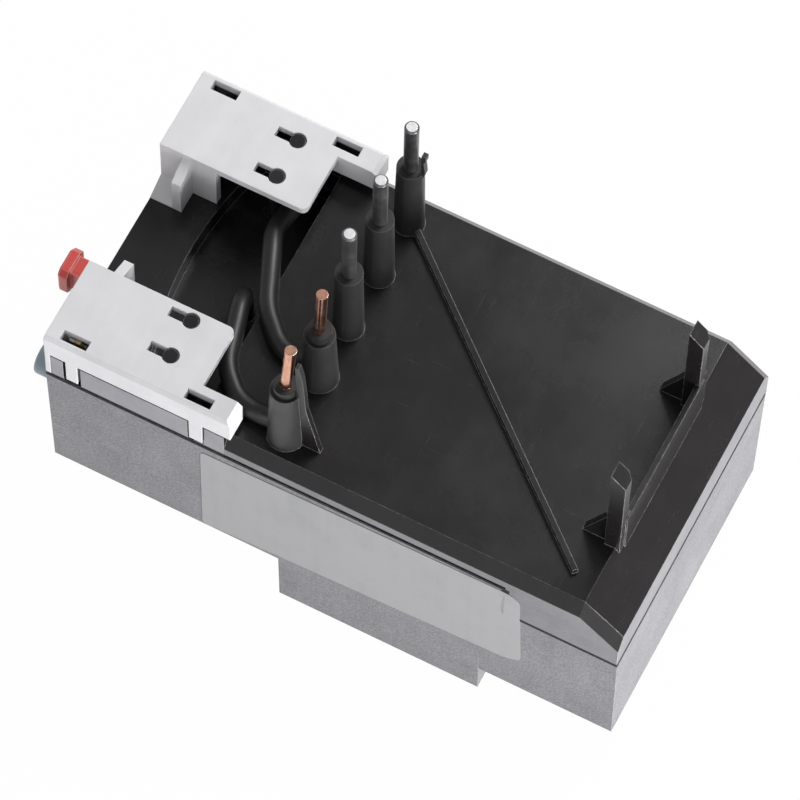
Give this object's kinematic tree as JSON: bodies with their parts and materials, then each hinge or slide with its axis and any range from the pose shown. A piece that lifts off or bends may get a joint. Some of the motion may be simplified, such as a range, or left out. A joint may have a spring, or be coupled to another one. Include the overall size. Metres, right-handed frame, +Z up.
{
  "type": "thermal overload relay",
  "caption": "Plug-in thermal overload relay with line pins, wire leads, hook posts, clip-on terminal covers, test and reset buttons and a setting dial.",
  "frame": {"origin": "on the resting plane, under the middle of the bounding box", "axes": "+Z up towards the contactor that the pins plug into, -Y the operator's front with the buttons, +X the side with the reset button and the label film"},
  "size_m": [0.045, 0.0908, 0.0688],
  "materials": {
    "housing": "fine texture",
    "cover": "semi gloss",
    "light_grey": "satin",
    "red_plastic": "gloss",
    "blue_plastic": "gloss",
    "dial_plastic": "satin",
    "mechanism_plastic": "satin",
    "tinned_copper": "satin",
    "zinc_steel": "zinc plated",
    "spring_steel": "bright",
    "brass": "satin",
    "copper": "bright",
    "bimetal": "satin",
    "wire_jacket": "gloss"
  },
  "bodies": {
    "housing": {"base_housing": "housing", "load_terminal_block": "housing", "top_cover": "cover", "terminal_cover_right": "light_grey", "terminal_cover_left": "light_grey", "control_screws": "zinc_steel", "control_clamp_plates": "zinc_steel", "load_screws": "zinc_steel", "load_clamp_cages": "zinc_steel", "test_button_spring": "spring_steel", "reset_button_spring": "spring_steel", "terminal_strip_left_outer": "brass", "terminal_strip_left_inner": "brass", "terminal_strip_right_inner": "brass", "terminal_strip_right_outer": "brass", "line_pin_1": "tinned_copper", "bimetal_1": "bimetal", "heater_1": "spring_steel", "load_bar_1": "copper", "line_pin_2": "tinned_copper", "bimetal_2": "bimetal", "heater_2": "spring_steel", "load_bar_2": "copper", "line_pin_3": "tinned_copper", "bimetal_3": "bimetal", "heater_3": "spring_steel", "load_bar_3": "copper", "coil_wire_jacket": "wire_jacket", "coil_wire_core": "copper", "contact_wire_jacket": "wire_jacket", "contact_wire_core": "copper"},
    "test_button": {"test_button": "red_plastic"},
    "reset_button": {"reset_button": "blue_plastic"},
    "setting_dial": {"setting_dial": "dial_plastic"},
    "trip_slide": {"trip_slide": "mechanism_plastic", "differential_slide": "mechanism_plastic"},
    "trip_lever": {"trip_lever": "mechanism_plastic", "compensation_strip": "bimetal"},
    "contact_carrier": {"contact_carrier": "mechanism_plastic", "contact_blade": "copper"}
  },
  "joints": [
    {"name": "test_button_slide", "type": "slide", "parent": "housing", "child": "test_button", "axis": [0, 1, 0], "range_m": [0, 0.0025], "stiffness_N_per_m": 400, "springref_m": -0.002, "deforming": ["test_button_spring"]},
    {"name": "reset_button_slide", "type": "slide", "parent": "housing", "child": "reset_button", "axis": [0, 1, 0], "range_m": [0, 0.0025], "stiffness_N_per_m": 400, "springref_m": -0.002, "deforming": ["reset_button_spring"]},
    {"name": "setting_dial_turn", "type": "hinge", "parent": "housing", "child": "setting_dial", "pos_m": [-0.008, -0.0391, 0.0235], "axis": [0, -1, 0], "range_deg": [-135, 135]},
    {"name": "trip_slide_travel", "type": "slide", "parent": "housing", "child": "trip_slide", "axis": [-1, 0, 0], "range_m": [0, 0.0016]},
    {"name": "trip_lever_turn", "type": "hinge", "parent": "housing", "child": "trip_lever", "pos_m": [0.014, -0.0221, 0.023], "axis": [0, 0, 1], "range_deg": [0, 12.02]},
    {"name": "contact_carrier_travel", "type": "slide", "parent": "housing", "child": "contact_carrier", "axis": [0, -1, 0], "range_m": [0, 0.00188]}
  ],
  "couplings": [
    {"joint": "trip_lever_turn", "follows": "trip_slide_travel", "rad_per_m": 130.9},
    {"joint": "contact_carrier_travel", "follows": "trip_slide_travel", "ratio": 1.169}
  ]
}
